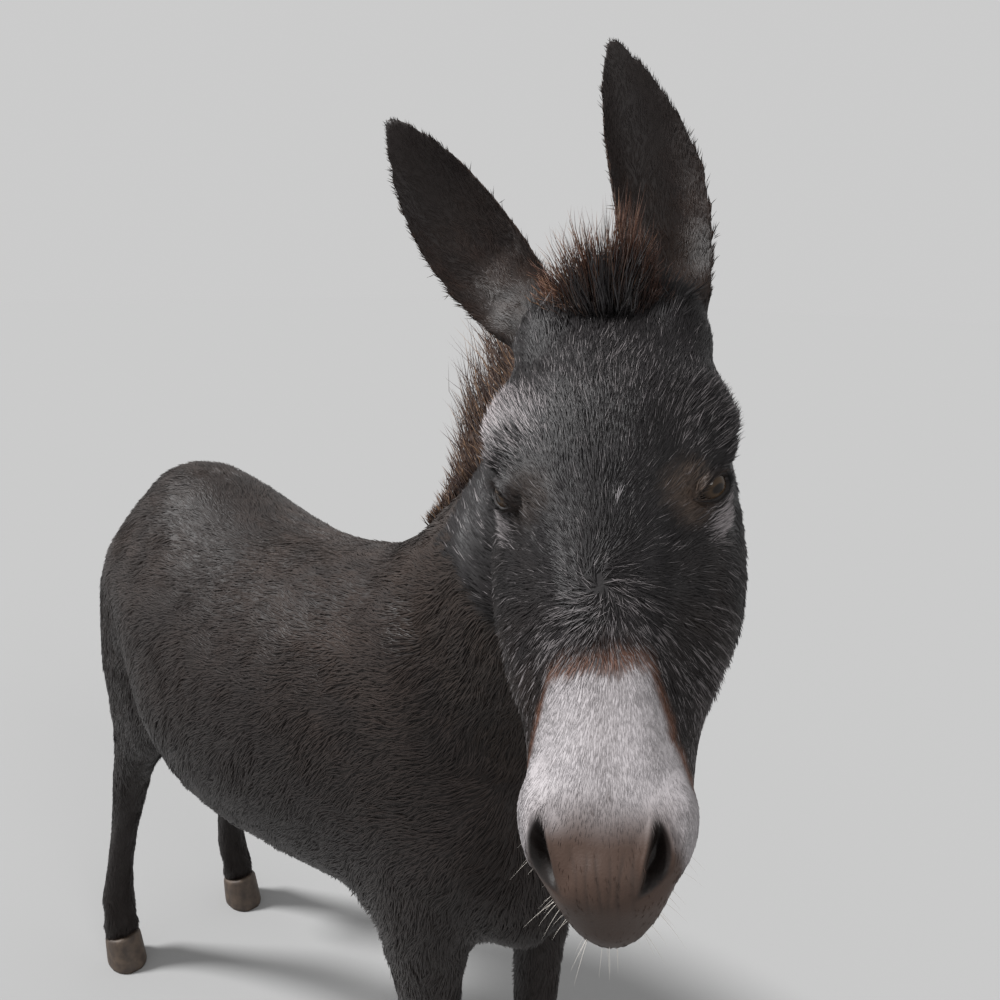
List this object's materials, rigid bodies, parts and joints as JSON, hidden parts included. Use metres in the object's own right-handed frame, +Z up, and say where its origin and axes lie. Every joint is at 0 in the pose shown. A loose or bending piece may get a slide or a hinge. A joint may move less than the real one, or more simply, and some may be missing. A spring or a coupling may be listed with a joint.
{
  "type": "donkey",
  "caption": "Life-size standing donkey, still, head turned to its right and lowered, long ears raised, short upright mane, on small flat hooves.",
  "frame": {"origin": "middle of the overall box, at the height of the hoof soles", "axes": "+Z up, the trunk lies along Y with the tail at +Y, and the animal's left side is +X"},
  "size_m": [0.6048, 1.468, 1.6253],
  "materials": {
    "dark_coat": "dense dark brown-black winter coat",
    "neck_coat": "dark brown fuzzy coat",
    "face_coat": "dark face with grey-tipped hair and a pale muzzle",
    "leg_coat": "short dark coat",
    "ear_coat": "dark brown ears with rusty hair inside",
    "mane_hair": "coarse dark reddish-brown hair",
    "hoof_horn": "dry tan-brown horn",
    "eye_brown": "glossy brown eye"
  },
  "bodies": {
    "root": {"trunk": "dark_coat", "neck": "neck_coat", "head": "face_coat", "ear_left": "ear_coat", "ear_right": "ear_coat", "eye_left": "eye_brown", "eye_right": "eye_brown", "leg_front_left": "leg_coat", "leg_front_right": "leg_coat", "leg_hind_left": "leg_coat", "leg_hind_right": "leg_coat", "hoof_front_left": "hoof_horn", "hoof_front_right": "hoof_horn", "hoof_hind_left": "hoof_horn", "hoof_hind_right": "hoof_horn", "mane": "mane_hair", "forelock": "mane_hair", "tail": "mane_hair"}
  },
  "joints": []
}
